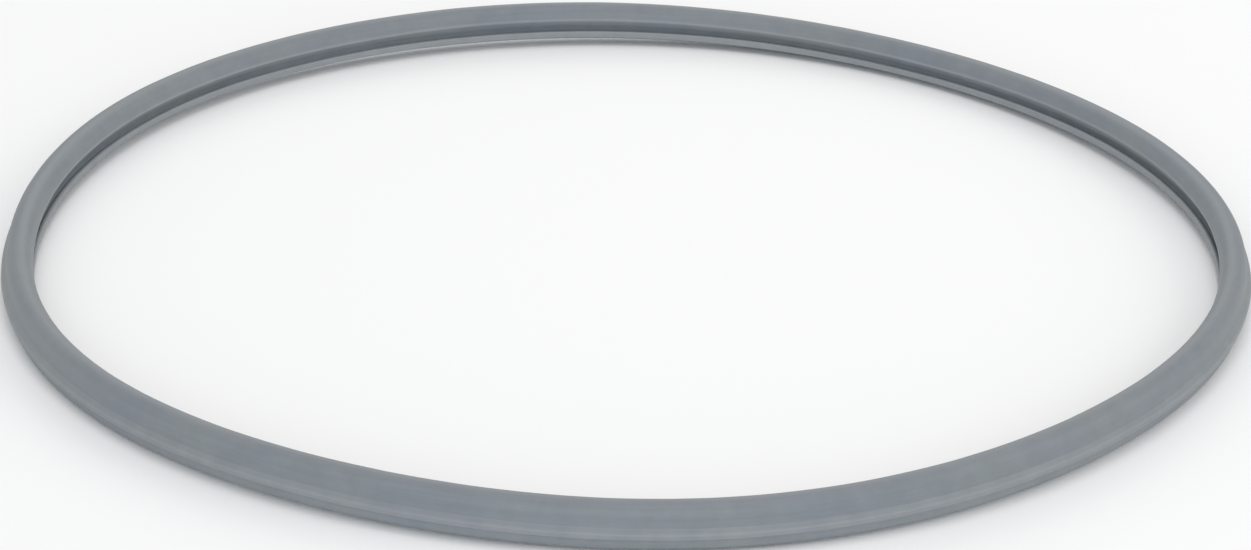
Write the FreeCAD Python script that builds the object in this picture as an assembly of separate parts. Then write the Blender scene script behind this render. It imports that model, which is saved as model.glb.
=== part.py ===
"""Sealing ring of a stovetop pressure cooker, moulded in one piece of silicone rubber.

Millimetres, +Z up. The origin is on the ring's axis, in the plane that the ring lies on. Every size of the
section is a radius from the axis or a height above that plane.
"""

import FreeCAD, Part
import math
import os

from FreeCAD import Vector

# Driving dimensions
RING_RADIUS = 120.0  # outer radius, at the bead that seats in the rim of the lid
RING_HEIGHT = 8.3  # from the foot to the crest
LIP_RADIUS = 113.85  # inner radius, at the tips of both lips

# Foot, the narrow flat face that the ring lies on, and the outer wall below the bead
FOOT_INNER_RADIUS = RING_RADIUS - 3.0
FOOT_OUTER_RADIUS = RING_RADIUS - 0.75
FOOT_INNER_ROUNDING = 0.35
FOOT_OUTER_ROUNDING = 1.0
LOWER_WALL_RADIUS = RING_RADIUS - 0.65
LOWER_WALL_HEIGHT = 2.1

# Seating bead around the outside
BEAD_BOTTOM = 2.5
BEAD_TOP = 3.4
BEAD_ROUNDING = 0.25

# Outer wall above the bead, and the crest
WALL_FOOT_RADIUS = RING_RADIUS - 0.8
WALL_FOOT_HEIGHT = BEAD_TOP + 0.7
WALL_FOOT_ROUNDING = 0.6
WALL_WAIST_RADIUS = RING_RADIUS - 1.0
WALL_WAIST_HEIGHT = 5.2
WALL_WAIST_ROUNDING = 3.0
CREST_OUTER_RADIUS = RING_RADIUS - 1.3
CREST_INNER_RADIUS = LIP_RADIUS + 0.8
CREST_OUTER_ROUNDING = 2.2
CREST_INNER_ROUNDING = 2.4

# Upper lip, groove and lower lip. The groove is deepest behind the lower lip, which points up like a flap.
UPPER_LIP_HEIGHT = 5.1
GROOVE_DEPTH = 1.5
GROOVE_TOP = 3.1
GROOVE_BOTTOM = 1.85
GROOVE_TOP_ROUNDING = 1.1
GROOVE_BOTTOM_ROUNDING = 0.3
LOWER_LIP_TOP = 2.6
LOWER_LIP_BOTTOM = 1.3
LOWER_LIP_THICKNESS = 0.6
LIP_ROUNDING = 0.28

AXIS_POINT = Vector(0, 0, 0)
AXIS = Vector(0, 0, 1)


def section_corners():
    """The corners of the section, anticlockwise from the foot's inner edge: radius, height, rounding."""
    return [
        (FOOT_INNER_RADIUS, 0, FOOT_INNER_ROUNDING),
        (FOOT_OUTER_RADIUS, 0, FOOT_OUTER_ROUNDING),
        (LOWER_WALL_RADIUS, LOWER_WALL_HEIGHT, BEAD_ROUNDING),
        (RING_RADIUS, BEAD_BOTTOM, BEAD_ROUNDING),
        (RING_RADIUS, BEAD_TOP, BEAD_ROUNDING),
        (WALL_FOOT_RADIUS, WALL_FOOT_HEIGHT, WALL_FOOT_ROUNDING),
        (WALL_WAIST_RADIUS, WALL_WAIST_HEIGHT, WALL_WAIST_ROUNDING),
        (CREST_OUTER_RADIUS, RING_HEIGHT, CREST_OUTER_ROUNDING),
        (CREST_INNER_RADIUS, RING_HEIGHT, CREST_INNER_ROUNDING),
        (LIP_RADIUS, UPPER_LIP_HEIGHT, LIP_ROUNDING),
        (LIP_RADIUS + GROOVE_DEPTH, GROOVE_TOP, GROOVE_TOP_ROUNDING),
        (LIP_RADIUS + GROOVE_DEPTH, GROOVE_BOTTOM, GROOVE_BOTTOM_ROUNDING),
        (LIP_RADIUS + LOWER_LIP_THICKNESS, LOWER_LIP_TOP, LIP_ROUNDING),
        (LIP_RADIUS, LOWER_LIP_TOP, LIP_ROUNDING),
        (LIP_RADIUS, LOWER_LIP_BOTTOM, LIP_ROUNDING),
    ]


def corner_arc(before, corner, after):
    """The start, middle and end of the arc that rounds a corner."""
    point = Vector(corner[0], 0, corner[1])
    back = (Vector(before[0], 0, before[1]) - point).normalize()
    ahead = (Vector(after[0], 0, after[1]) - point).normalize()
    half_angle = back.getAngle(ahead) / 2
    rounding = corner[2]
    reach = rounding / math.tan(half_angle)
    to_middle = rounding / math.sin(half_angle) - rounding
    middle = point + (back + ahead).normalize() * to_middle
    return point + back * reach, middle, point + ahead * reach


def section_face(corners):
    """A face in the XZ plane with straight sides and rounded corners."""
    neighbours = zip(corners[-1:] + corners[:-1], corners, corners[1:] + corners[:1])
    arcs = [corner_arc(*three) for three in neighbours]
    edges = []
    for arc, next_arc in zip(arcs, arcs[1:] + arcs[:1]):
        edges.append(Part.Arc(*arc).toShape())
        edges.append(Part.LineSegment(arc[2], next_arc[0]).toShape())
    return Part.Face(Part.Wire(edges))


def sealing_ring():
    return section_face(section_corners()).revolve(AXIS_POINT, AXIS, 360)


os.makedirs("parts", exist_ok=True)
sealing_ring().exportStep("parts/sealing_ring.step")
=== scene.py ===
"""Looks of a pressure cooker's sealing ring: one soft silicone moulding, lying relaxed on a pale table.

Metres, +Z up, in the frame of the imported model: the ring's axis is the Z axis and its foot is at height 0.
"""

import math

import bpy
from mathutils import Matrix, Vector, noise


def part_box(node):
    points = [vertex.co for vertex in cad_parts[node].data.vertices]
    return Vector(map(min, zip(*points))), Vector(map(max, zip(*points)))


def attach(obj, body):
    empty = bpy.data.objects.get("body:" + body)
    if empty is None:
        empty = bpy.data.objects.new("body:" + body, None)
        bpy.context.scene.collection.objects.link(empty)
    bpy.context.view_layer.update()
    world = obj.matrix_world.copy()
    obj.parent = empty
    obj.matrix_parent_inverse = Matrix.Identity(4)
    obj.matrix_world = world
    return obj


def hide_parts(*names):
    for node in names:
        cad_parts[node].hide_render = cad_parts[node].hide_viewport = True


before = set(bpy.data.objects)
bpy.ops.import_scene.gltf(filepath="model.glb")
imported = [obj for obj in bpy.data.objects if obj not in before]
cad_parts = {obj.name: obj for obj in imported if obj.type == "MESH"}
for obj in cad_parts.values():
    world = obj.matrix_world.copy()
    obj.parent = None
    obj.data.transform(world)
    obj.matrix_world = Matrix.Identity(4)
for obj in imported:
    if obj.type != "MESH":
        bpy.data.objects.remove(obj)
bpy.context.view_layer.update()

MM = 0.001

# Overall sizes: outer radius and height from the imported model, and the radius of both lips' tips
low_corner, high_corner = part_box("sealing_ring")
RING_RADIUS = (high_corner.x - low_corner.x) / 2
RING_HEIGHT = high_corner.z - low_corner.z
LIP_RADIUS = RING_RADIUS - 6.15 * MM

# Section: foot, and the outer wall below the bead
FOOT_INNER_RADIUS = RING_RADIUS - 3.0 * MM
FOOT_OUTER_RADIUS = RING_RADIUS - 0.75 * MM
FOOT_INNER_ROUNDING = 0.35 * MM
FOOT_OUTER_ROUNDING = 1.0 * MM
LOWER_WALL_RADIUS = RING_RADIUS - 0.65 * MM
LOWER_WALL_HEIGHT = 2.1 * MM

# Section: seating bead, with the fine line that the mould's parting leaves around it
BEAD_BOTTOM = 2.5 * MM
BEAD_TOP = 3.4 * MM
BEAD_ROUNDING = 0.25 * MM
FLASH_HEIGHT = 2.95 * MM
FLASH_WIDTH = 0.16 * MM
FLASH_PROUD = 0.06 * MM
FLASH_ROUNDING = 0.03 * MM

# Section: outer wall above the bead, and the crest
WALL_FOOT_RADIUS = RING_RADIUS - 0.8 * MM
WALL_FOOT_HEIGHT = BEAD_TOP + 0.7 * MM
WALL_FOOT_ROUNDING = 0.6 * MM
WALL_WAIST_RADIUS = RING_RADIUS - 1.0 * MM
WALL_WAIST_HEIGHT = 5.2 * MM
WALL_WAIST_ROUNDING = 3.0 * MM
CREST_OUTER_RADIUS = RING_RADIUS - 1.3 * MM
CREST_OUTER_ROUNDING = 2.2 * MM
CREST_INNER_RADIUS = LIP_RADIUS + 0.8 * MM
CREST_INNER_ROUNDING = 2.4 * MM

# Section: upper lip, groove and lower lip
UPPER_LIP_HEIGHT = 5.1 * MM
GROOVE_DEPTH = 1.5 * MM
GROOVE_TOP = 3.1 * MM
GROOVE_BOTTOM = 1.85 * MM
GROOVE_TOP_ROUNDING = 1.1 * MM
GROOVE_BOTTOM_ROUNDING = 0.3 * MM
LOWER_LIP_TOP = 2.6 * MM
LOWER_LIP_BOTTOM = 1.3 * MM
LOWER_LIP_THICKNESS = 0.6 * MM
LIP_ROUNDING = 0.28 * MM

# How the relaxed ring is out of true: waves round the ring, size, and bearing of a crest in degrees
OUT_OF_ROUND = [(3, 0.32 * MM, 0), (4, 0.19 * MM, 14), (5, 0.44 * MM, -2)]
OUT_OF_FLAT = [(2, 0.43 * MM, -42), (3, 0.23 * MM, 0), (5, 0.28 * MM, 23)]
UPPER_LIP_SAG = [(1, 0.18 * MM, 30), (5, 0.07 * MM, 18), (11, 0.03 * MM, 7), (17, 0.02 * MM, 3)]
LOWER_LIP_SAG = [(1, 0.17 * MM, 30), (7, 0.06 * MM, -15), (9, 0.04 * MM, 31), (16, 0.03 * MM, 5)]
FOOT_WARP = 0.6  # the foot's share of the out-of-flat waves, as the ring's own weight presses it down

# Unevenness of the moulding: a soft swell of the whole surface with a finer one on it, pushed out from the
# section's middle, and how far the flash line runs before it changes
SWELL_SIZE = 0.03 * MM
SWELL_LENGTH = 9 * MM
FINER_SWELL = 0.4  # its size beside the soft swell's
FINER_SWELL_COUNT = 3  # to each soft swell
SECTION_MIDDLE = Vector(((RING_RADIUS + LIP_RADIUS) / 2, RING_HEIGHT / 2))
FLASH_RUN = 14 * MM

# Mesh
STEPS_AROUND = 720
ARC_STEP = math.radians(14)
LEAST_ARC_STEPS = 2
LONGEST_STEP = 0.45 * MM
SHARP_ROUNDING = 0.3 * MM  # an outward corner with less than this counts as sharp

# Where light is painted onto the silicone as a paler grey, from 0 to 1: painted highlights on sharp edges and
# on the bead, painted light through the lower lip, and painted light on the shaded wall below the bead
EDGE_HIGHLIGHT = 1.0
BEAD_HIGHLIGHT = 0.6
LOWER_LIP_SHINE_THROUGH = 0.9
LOWER_WALL_PAINTED_LIGHT = 0.3

# Silicone: colours, and how much of the pale grey of the painted light shows where the painted light is 1
BLUER_GREY = (0.200, 0.221, 0.245, 1)
GREENER_GREY = (0.215, 0.236, 0.247, 1)
HIGHLIGHT_GREY = (0.305, 0.321, 0.331, 1)
LEAST_PAINTED_LIGHT = 0.45
MOST_PAINTED_LIGHT = 0.6
SILICONE_IOR = 1.41

# Silicone: size of one patch of each pattern
CLOUD = 26 * MM
MOTTLE = 3.5 * MM
RIPPLE = 1.4 * MM
GRAIN = 0.2 * MM
STREAK_LENGTH = 22 * MM
STREAK_WIDTH = 0.45 * MM

# Silicone: how far each pattern changes the tone, the roughness and the relief
MOTTLE_TONE = 0.045
STREAK_TONE = 0.035
GRAIN_TONE = 0.02
LEAST_ROUGHNESS = 0.47
MOST_ROUGHNESS = 0.55
ROUGHNESS_CHANGE = 0.03
RIPPLE_DEPTH = 0.035 * MM
STREAK_DEPTH = 0.018 * MM
GRAIN_DEPTH = 0.02 * MM

# The values of a noise texture that are stretched to a pattern's whole range: nearly all of them, or only
# those near the middle
MOST_NOISE = (0.3, 0.7)
MIDDLE_NOISE = (0.35, 0.65)

# Floor
FLOOR_HALF = 4.0
FLOOR_COLOUR = (0.95, 0.95, 0.95)
FLOOR_ROUGHNESS = 0.9

# Studio: even light from all round, and soft lights by name, place, size, power in watts and colour
WHITE = (1, 1, 1)
SURROUNDING_LIGHT = 0.70
SOFT_LIGHTS = [
    ("top", (0, 0, 1.5), 1.2, 3.6, WHITE),
    ("front", (0, -1.35, 0.35), 0.6, 4.6, (0.89, 0.98, 1.07)),
    ("right", (1.15, -0.15, 0.65), 0.8, 2.2, (1.04, 1.0, 0.95)),
    ("back", (0, 1.2, 0.7), 0.8, 2.4, WHITE),
]

# Camera: its distance and elevation are from a point on the ring's axis, and it aims just below that point
CAMERA_LEVEL = 3.52 * MM
CAMERA_DISTANCE = 0.7368
CAMERA_ELEVATION = math.radians(24.01)
CAMERA_ROLL = 0.0207
AIM_ASIDE = 0.4 * MM
AIM_BELOW = 7.84 * MM
SENSOR_WIDTH = 36
LENS = 109.09
FARTHEST_SEEN = 20


def section_corners():
    """The corners of the section, anticlockwise from the foot's inner edge: radius, height, rounding."""
    flash_low = FLASH_HEIGHT - FLASH_WIDTH / 2
    flash_high = FLASH_HEIGHT + FLASH_WIDTH / 2
    return [
        (FOOT_INNER_RADIUS, 0, FOOT_INNER_ROUNDING),
        (FOOT_OUTER_RADIUS, 0, FOOT_OUTER_ROUNDING),
        (LOWER_WALL_RADIUS, LOWER_WALL_HEIGHT, BEAD_ROUNDING),
        (RING_RADIUS, BEAD_BOTTOM, BEAD_ROUNDING),
        (RING_RADIUS, flash_low, FLASH_ROUNDING),
        (RING_RADIUS + FLASH_PROUD, FLASH_HEIGHT, FLASH_ROUNDING),
        (RING_RADIUS, flash_high, FLASH_ROUNDING),
        (RING_RADIUS, BEAD_TOP, BEAD_ROUNDING),
        (WALL_FOOT_RADIUS, WALL_FOOT_HEIGHT, WALL_FOOT_ROUNDING),
        (WALL_WAIST_RADIUS, WALL_WAIST_HEIGHT, WALL_WAIST_ROUNDING),
        (CREST_OUTER_RADIUS, RING_HEIGHT, CREST_OUTER_ROUNDING),
        (CREST_INNER_RADIUS, RING_HEIGHT, CREST_INNER_ROUNDING),
        (LIP_RADIUS, UPPER_LIP_HEIGHT, LIP_ROUNDING),
        (LIP_RADIUS + GROOVE_DEPTH, GROOVE_TOP, GROOVE_TOP_ROUNDING),
        (LIP_RADIUS + GROOVE_DEPTH, GROOVE_BOTTOM, GROOVE_BOTTOM_ROUNDING),
        (LIP_RADIUS + LOWER_LIP_THICKNESS, LOWER_LIP_TOP, LIP_ROUNDING),
        (LIP_RADIUS, LOWER_LIP_TOP, LIP_ROUNDING),
        (LIP_RADIUS, LOWER_LIP_BOTTOM, LIP_ROUNDING),
    ]


def rounded_corner(before, corner, after):
    """Points along the arc that rounds a corner, and its turn, which is positive where the ring bulges."""
    point = Vector(corner[:2])
    back = (Vector(before[:2]) - point).normalized()
    ahead = (Vector(after[:2]) - point).normalized()
    half_angle = back.angle(ahead) / 2
    rounding = corner[2]
    reach = rounding / math.tan(half_angle)
    centre = point + (back + ahead).normalized() * rounding / math.sin(half_angle)
    start = point + back * reach - centre
    turn = -start.angle_signed(point + ahead * reach - centre)
    steps = max(LEAST_ARC_STEPS, math.ceil(abs(turn) / ARC_STEP))
    return [centre + Matrix.Rotation(turn * i / steps, 2) @ start for i in range(steps + 1)], turn


def painted_light(point, sharp):
    """How much light is painted onto the silicone at a point of the section, as a paler grey: most as a
    painted highlight on sharp edges, then as painted light through the thin lower lip, as a painted highlight
    on the bead, and a little as painted light on the shaded wall below the bead."""
    # painted highlight on sharp edges
    if sharp:
        return EDGE_HIGHLIGHT
    # painted highlight on the bead
    if point.x > WALL_FOOT_RADIUS and point.y > LOWER_WALL_HEIGHT:
        return BEAD_HIGHLIGHT
    # painted light shining through the thin lower lip
    if point.x < LIP_RADIUS + LIP_ROUNDING and point.y < LOWER_LIP_TOP:
        return LOWER_LIP_SHINE_THROUGH
    # painted light lifting the shade on the wall below the bead
    if point.x > FOOT_OUTER_RADIUS - FOOT_OUTER_ROUNDING and point.y <= LOWER_WALL_HEIGHT:
        return LOWER_WALL_PAINTED_LIGHT
    return 0.0


def section_outline():
    """The closed outline of the section, and how much light is painted onto the silicone at each of its
    points.
    """
    corners = section_corners()
    neighbours = zip(corners[-1:] + corners[:-1], corners, corners[1:] + corners[:1])
    arcs = [rounded_corner(*three) for three in neighbours]
    points, pale = [], []
    for corner, (arc, turn), (next_arc, _) in zip(corners, arcs, arcs[1:] + arcs[:1]):
        sharp = turn > 0 and corner[2] < SHARP_ROUNDING
        steps = math.ceil((next_arc[0] - arc[-1]).length / LONGEST_STEP)
        side = [arc[-1].lerp(next_arc[0], i / steps) for i in range(1, steps)]
        points += arc + side
        pale += [painted_light(point, sharp) for point in arc] + [painted_light(point, False) for point in side]
    return points, pale


def waves(out_of_true, bearing):
    """The sum of a list of waves round the ring, at a bearing in radians."""
    return sum(size * math.cos(count * (bearing - math.radians(crest))) for count, size, crest in out_of_true)


def warp(height, bearing):
    """How far a point is off the true plane, which is less at the foot than at the crest."""
    return waves(OUT_OF_FLAT, bearing) * (FOOT_WARP + (1 - FOOT_WARP) * height / RING_HEIGHT)


def resting_lift():
    """How far the ring is raised so that the lowest part of its foot touches the table."""
    return -min(warp(0, math.tau * i / STEPS_AROUND) for i in range(STEPS_AROUND))


def lip_share(radius, height, lip_height):
    """How much of a lip's sag a point takes: all of it at the tip, none at the back of the groove."""
    across = 1 - (radius - LIP_RADIUS) / GROOVE_DEPTH
    along = 1 - abs(height - lip_height) / GROOVE_DEPTH
    return max(0.0, across) * max(0.0, along)


def swell(place):
    """The surface's small unevenness at a place: a long soft wave with a finer one on it."""
    soft = noise.noise(place / SWELL_LENGTH)
    finer = noise.noise(place * FINER_SWELL_COUNT / SWELL_LENGTH)
    return SWELL_SIZE * (soft + FINER_SWELL * finer)


def soft_point(radius, height, bearing):
    """Where a point of the section lies on the relaxed ring, before it is lifted onto the table."""
    ahead = Vector((math.cos(bearing), math.sin(bearing), 0))
    if radius > RING_RADIUS:
        radius += (radius - RING_RADIUS) * noise.noise(ahead * RING_RADIUS / FLASH_RUN)
    height += lip_share(radius, height, UPPER_LIP_HEIGHT) * waves(UPPER_LIP_SAG, bearing)
    height += lip_share(radius, height, LOWER_LIP_TOP) * waves(LOWER_LIP_SAG, bearing)
    place = ahead * radius + Vector((0, 0, height))
    middle = ahead * SECTION_MIDDLE.x + Vector((0, 0, SECTION_MIDDLE.y))
    place += (place - middle).normalized() * swell(place) * min(1, height / LOWER_WALL_HEIGHT)
    return place + ahead * waves(OUT_OF_ROUND, bearing) + Vector((0, 0, warp(height, bearing)))


def ring_mesh():
    """The closed mesh of the relaxed ring, with the painted light at each point as an attribute."""
    outline, pale = section_outline()
    lift = Vector((0, 0, resting_lift()))
    points = []
    for i in range(STEPS_AROUND):
        bearing = math.tau * i / STEPS_AROUND
        points += [soft_point(radius, height, bearing) + lift for radius, height in outline]
    count = len(outline)
    faces = []
    for i in range(STEPS_AROUND):
        here, there = i * count, (i + 1) % STEPS_AROUND * count
        for j in range(count):
            k = (j + 1) % count
            faces.append((here + j, there + j, there + k, here + k))
    mesh = bpy.data.meshes.new("sealing_ring_soft")
    mesh.from_pydata(points, [], faces)
    attribute = mesh.attributes.new("painted_light", "FLOAT", "POINT")
    attribute.data.foreach_set("value", pale * STEPS_AROUND)
    mesh.shade_smooth()
    return mesh


class Nodes:
    """Short calls that make the shader nodes of one material."""

    def __init__(self, material):
        material.use_nodes = True
        self.tree = material.node_tree
        self.shader = self.tree.nodes["Principled BSDF"]

    def join(self, value, socket):
        """Puts a value in a socket, or links another node's output to it."""
        if isinstance(value, bpy.types.NodeSocket):
            self.tree.links.new(value, socket)
        else:
            socket.default_value = value

    def add(self, kind, settings, values, output=0):
        """Makes a node. Settings are its properties, values are its inputs by name or number."""
        node = self.tree.nodes.new(kind)
        for name, value in settings.items():
            setattr(node, name, value)
        for name, value in values.items():
            self.join(value, node.inputs[name])
        return node.outputs[output]

    def maths(self, operation, first, second):
        return self.add("ShaderNodeMath", {"operation": operation}, {0: first, 1: second})

    def vector_maths(self, operation, first, second, output=0):
        return self.add("ShaderNodeVectorMath", {"operation": operation}, {0: first, 1: second}, output)

    def noise(self, place, patch, detail=2.0):
        """Noise with patches of about that size in metres."""
        return self.add("ShaderNodeTexNoise", {}, {"Vector": place, "Scale": 1 / patch, "Detail": detail})

    def stretched(self, value, span, low=0.0, high=1.0):
        """The value, moved so that the span becomes low to high, and held there."""
        return self.add("ShaderNodeMapRange", {}, {0: value, 1: span[0], 2: span[1], 3: low, 4: high})

    def around(self, middle, change, pattern):
        """A number that goes up and down from the middle with a pattern."""
        return self.stretched(pattern, MOST_NOISE, middle - change, middle + change)

    def mixed(self, share, first, second):
        """A mix of two colours."""
        return self.add("ShaderNodeMix", {"data_type": "RGBA"}, {0: share, 6: first, 7: second}, 2)

    def raised(self, height, depth, below=None):
        """A bump of that depth in metres, on top of the bump below it."""
        values = {"Height": height, "Distance": depth}
        if below is not None:
            values["Normal"] = below
        return self.add("ShaderNodeBump", {}, values)


def streaks(nodes, place, length, width):
    """Noise that is drawn out along the ring, as the polishing of a turned mould leaves it."""
    flat = nodes.vector_maths("MULTIPLY", place, (1, 1, 0))
    ahead = nodes.vector_maths("NORMALIZE", flat, (0, 0, 0))
    around = nodes.vector_maths("MULTIPLY", ahead, (RING_RADIUS / length, RING_RADIUS / length, 0))
    radius = nodes.vector_maths("LENGTH", flat, (0, 0, 0), "Value")
    height = nodes.vector_maths("DOT_PRODUCT", place, (0, 0, 1 / width), "Value")
    across = nodes.add("ShaderNodeCombineXYZ", {}, {"Z": nodes.maths("DIVIDE", radius, width)})
    drawn_out = nodes.vector_maths("ADD", around, across)
    values = {"Vector": drawn_out, "W": height, "Scale": 1.0, "Detail": 2.0}
    return nodes.add("ShaderNodeTexNoise", {"noise_dimensions": "4D"}, values)


def silicone():
    """Matt bluish-grey silicone: cloudy colour, faint streaks round the ring, painted highlights and painted
    light as a paler grey on edges, bead and lips, and fine grain.
    """
    material = bpy.data.materials.new("silicone")
    nodes = Nodes(material)
    shader = nodes.shader
    shader.inputs["IOR"].default_value = SILICONE_IOR
    place = nodes.add("ShaderNodeTexCoord", {}, {}, "Object")

    clouds = nodes.noise(place, CLOUD, 3.0)
    mottle = nodes.noise(place, MOTTLE, 4.0)
    ripple = nodes.noise(place, RIPPLE)
    grain = nodes.noise(place, GRAIN)
    fine_streaks = streaks(nodes, place, STREAK_LENGTH, STREAK_WIDTH)
    pale = nodes.add("ShaderNodeAttribute", {"attribute_name": "painted_light"}, {}, "Fac")

    blue_to_green = nodes.mixed(nodes.stretched(clouds, MIDDLE_NOISE), BLUER_GREY, GREENER_GREY)
    tone = nodes.around(1, MOTTLE_TONE, mottle)
    tone = nodes.maths("MULTIPLY", tone, nodes.around(1, STREAK_TONE, fine_streaks))
    tone = nodes.maths("MULTIPLY", tone, nodes.around(1, GRAIN_TONE, grain))
    grey_tone = nodes.add("ShaderNodeCombineXYZ", {}, {0: tone, 1: tone, 2: tone})
    body = nodes.vector_maths("MULTIPLY", blue_to_green, grey_tone)
    # Painted highlights and painted light: a paler grey mixed into the body colour by the painted-light
    # attribute, more or less with the mottle
    light_share = nodes.maths("MULTIPLY", pale, nodes.stretched(mottle, MIDDLE_NOISE, LEAST_PAINTED_LIGHT, MOST_PAINTED_LIGHT))
    nodes.join(nodes.mixed(light_share, body, HIGHLIGHT_GREY), shader.inputs["Base Color"])

    roughness = nodes.stretched(clouds, MOST_NOISE, LEAST_ROUGHNESS, MOST_ROUGHNESS)
    roughness = nodes.maths("ADD", roughness, nodes.around(0, ROUGHNESS_CHANGE, fine_streaks))
    roughness = nodes.maths("ADD", roughness, nodes.around(0, ROUGHNESS_CHANGE, mottle))
    nodes.join(roughness, shader.inputs["Roughness"])

    relief = nodes.raised(ripple, RIPPLE_DEPTH)
    relief = nodes.raised(fine_streaks, STREAK_DEPTH, relief)
    relief = nodes.raised(grain, GRAIN_DEPTH, relief)
    nodes.join(relief, shader.inputs["Normal"])
    return material


def sealing_ring():
    """The whole object: it is one moulding."""
    ring = bpy.data.objects.new("sealing_ring_soft", ring_mesh())
    bpy.context.scene.collection.objects.link(ring)
    ring.data.materials.append(silicone())
    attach(ring, "root")
    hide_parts("sealing_ring")


def plain_material(name, colour, roughness):
    material = bpy.data.materials.new(name)
    material.use_nodes = True
    shader = material.node_tree.nodes["Principled BSDF"]
    shader.inputs["Base Color"].default_value = (*colour, 1)
    shader.inputs["Roughness"].default_value = roughness
    return material


def floor():
    """A plain pale table, wide enough for low views."""
    half = FLOOR_HALF
    corners = [(-half, -half, 0), (half, -half, 0), (half, half, 0), (-half, half, 0)]
    mesh = bpy.data.meshes.new("floor")
    mesh.from_pydata(corners, [], [(0, 1, 2, 3)])
    ground = bpy.data.objects.new("floor", mesh)
    ground.data.materials.append(plain_material("pale_floor", FLOOR_COLOUR, FLOOR_ROUGHNESS))
    bpy.context.scene.collection.objects.link(ground)


def soft_light(name, place, size, power, colour):
    """A round soft light that faces the middle of the ring."""
    lamp = bpy.data.lights.new(name, "AREA")
    lamp.shape = "DISK"
    lamp.size = size
    lamp.energy = power
    lamp.color = colour
    light = bpy.data.objects.new(name, lamp)
    light.location = place
    light.rotation_euler = (-Vector(place)).to_track_quat("-Z", "Y").to_euler()
    bpy.context.scene.collection.objects.link(light)


def studio():
    """Even light from all round, the soft lights, and colours shown as they are."""
    world = bpy.data.worlds.new("studio")
    world.use_nodes = True
    background = world.node_tree.nodes["Background"]
    background.inputs["Color"].default_value = (*WHITE, 1)
    background.inputs["Strength"].default_value = SURROUNDING_LIGHT
    bpy.context.scene.world = world
    for light in SOFT_LIGHTS:
        soft_light(*light)
    bpy.context.scene.view_settings.view_transform = "Standard"


def camera():
    """A long lens, looking down at the ring at about 24 degrees."""
    ring_level = CAMERA_LEVEL + resting_lift()
    aim = Vector((AIM_ASIDE, 0, ring_level - AIM_BELOW))
    back = -CAMERA_DISTANCE * math.cos(CAMERA_ELEVATION)
    up = CAMERA_DISTANCE * math.sin(CAMERA_ELEVATION)
    place = Vector((0, back, up + ring_level))
    lens = bpy.data.cameras.new("camera")
    lens.sensor_width = SENSOR_WIDTH
    lens.lens = LENS
    lens.clip_end = FARTHEST_SEEN
    view = bpy.data.objects.new("camera", lens)
    level = (aim - place).to_track_quat("-Z", "Y").to_matrix().to_4x4()
    view.matrix_world = Matrix.Translation(place) @ level @ Matrix.Rotation(CAMERA_ROLL, 4, "Z")
    bpy.context.scene.collection.objects.link(view)
    bpy.context.scene.camera = view


sealing_ring()
floor()
studio()
camera()

bpy.context.view_layer.update()
